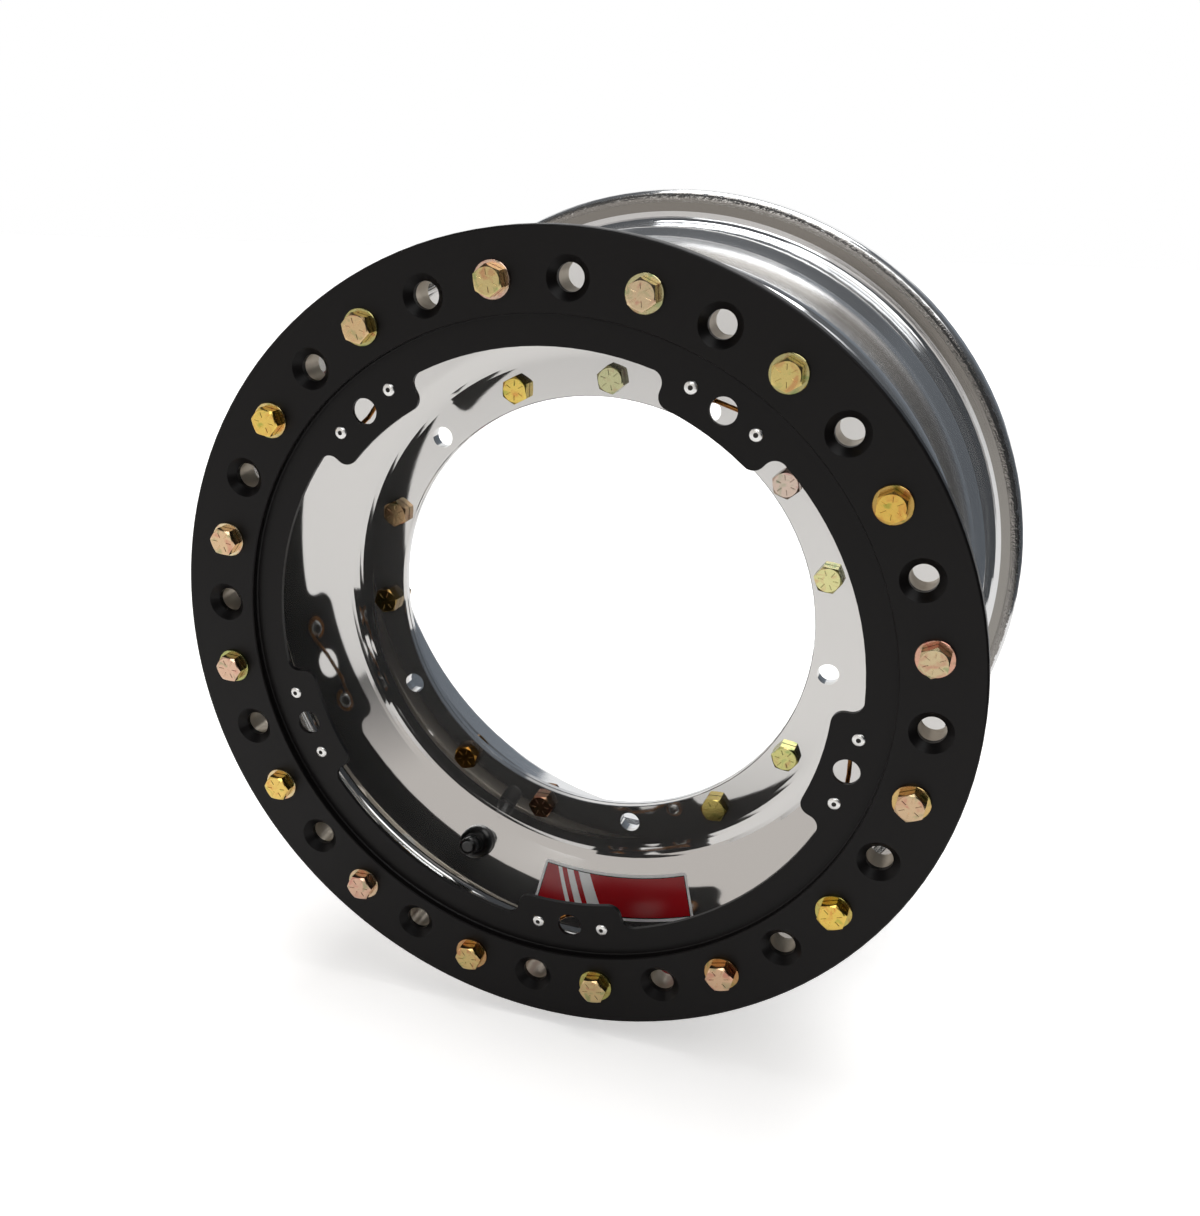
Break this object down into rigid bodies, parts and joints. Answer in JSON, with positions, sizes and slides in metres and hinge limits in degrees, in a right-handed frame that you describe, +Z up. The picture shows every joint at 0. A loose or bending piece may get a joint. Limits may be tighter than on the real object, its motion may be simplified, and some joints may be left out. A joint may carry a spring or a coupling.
{
  "type": "sprint_car_wheel",
  "caption": "Two-piece spun aluminium sprint car wheel with a bolted centre flange, a black beadlock ring with cover tabs, a rear bead seat and lip, and a snap-in valve",
  "frame": {"origin": "centre of the hub bolt circle, on the mounting face at the rear of the centre flange", "axes": "+Y along the axle and inboard, -Y towards the beadlock side, +Z up, +X to the right seen from the beadlock side"},
  "size_m": [0.4151, 0.2305, 0.4152],
  "materials": {
    "polished_aluminium": "spun and polished",
    "machined_aluminium": "turned",
    "black_anodised": "satin black anodised",
    "yellow_zinc": "yellow chromated zinc plate",
    "plated_steel": "clear zinc plate",
    "rivet_aluminium": "bright",
    "spring_steel": "drawn wire, straw-coloured",
    "valve_rubber": "moulded",
    "seal_rubber": "moulded",
    "sealant": "cured sealant",
    "valve_brass": "turned",
    "cap_plastic": "moulded",
    "decal_film": "printed film"
  },
  "bodies": {
    "root": {"outer_half": "polished_aluminium", "inner_half": "polished_aluminium", "joint_sealant": "sealant", "bead_flange": "machined_aluminium", "beadlock_ring": "black_anodised", "join_bolts": "yellow_zinc", "join_nuts": "yellow_zinc", "beadlock_bolts": "yellow_zinc", "beadlock_washers": "yellow_zinc", "threaded_inserts": "plated_steel", "cover_spring_1": "spring_steel", "cover_spring_2": "spring_steel", "cover_spring_3": "spring_steel", "cover_spring_4": "spring_steel", "cover_spring_5": "spring_steel", "spring_rivets": "rivet_aluminium", "rivet_mandrels": "plated_steel", "valve_body": "valve_rubber", "valve_stem": "valve_brass", "valve_core": "valve_brass", "valve_seal": "seal_rubber", "valve_spring": "spring_steel", "decal": "decal_film"},
    "valve_cap": {"valve_cap": "cap_plastic"},
    "valve_pin": {"valve_pin": "valve_brass"}
  },
  "joints": [
    {"name": "cap_pull", "type": "slide", "parent": "root", "child": "valve_cap", "axis": [0.1839, -0.9003, 0.3945], "range_m": [0, 0.015]},
    {"name": "pin_press", "type": "slide", "parent": "root", "child": "valve_pin", "axis": [-0.1839, 0.9003, -0.3945], "range_m": [0, 0.0012], "stiffness_N_per_m": 300, "springref_m": -0.001}
  ]
}
